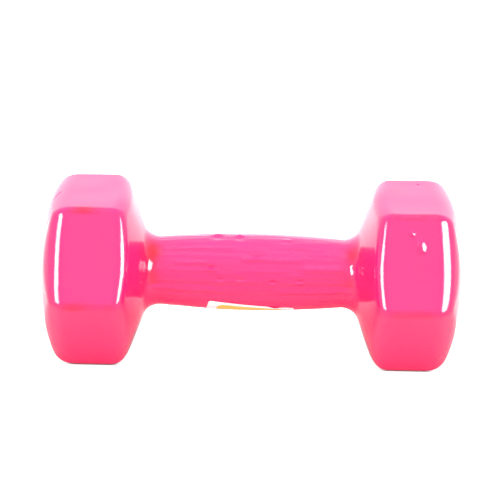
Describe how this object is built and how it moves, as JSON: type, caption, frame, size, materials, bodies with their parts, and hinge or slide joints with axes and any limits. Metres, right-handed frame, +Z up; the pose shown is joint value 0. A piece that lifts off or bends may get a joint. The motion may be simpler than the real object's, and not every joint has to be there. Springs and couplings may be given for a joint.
{
  "type": "hex dumbbell",
  "caption": "Hexagonal dumbbell for one hand: a cast iron weight with a barrel grip, dipped whole in a soft glossy vinyl coat.",
  "frame": {"origin": "on the floor, halfway between the two heads, under the handle's axis", "axes": "+X along the handle, +Z up, with one flat of each head on the floor"},
  "size_m": [0.17, 0.078, 0.0684],
  "materials": {
    "iron": "as cast",
    "vinyl": "gloss, dipped",
    "plug": "satin, moulded",
    "label": "printed film"
  },
  "bodies": {
    "root": {"iron_core": "iron", "vinyl_skin": "vinyl", "hang_hole_plug": "plug", "handle_label": "label"}
  },
  "joints": []
}
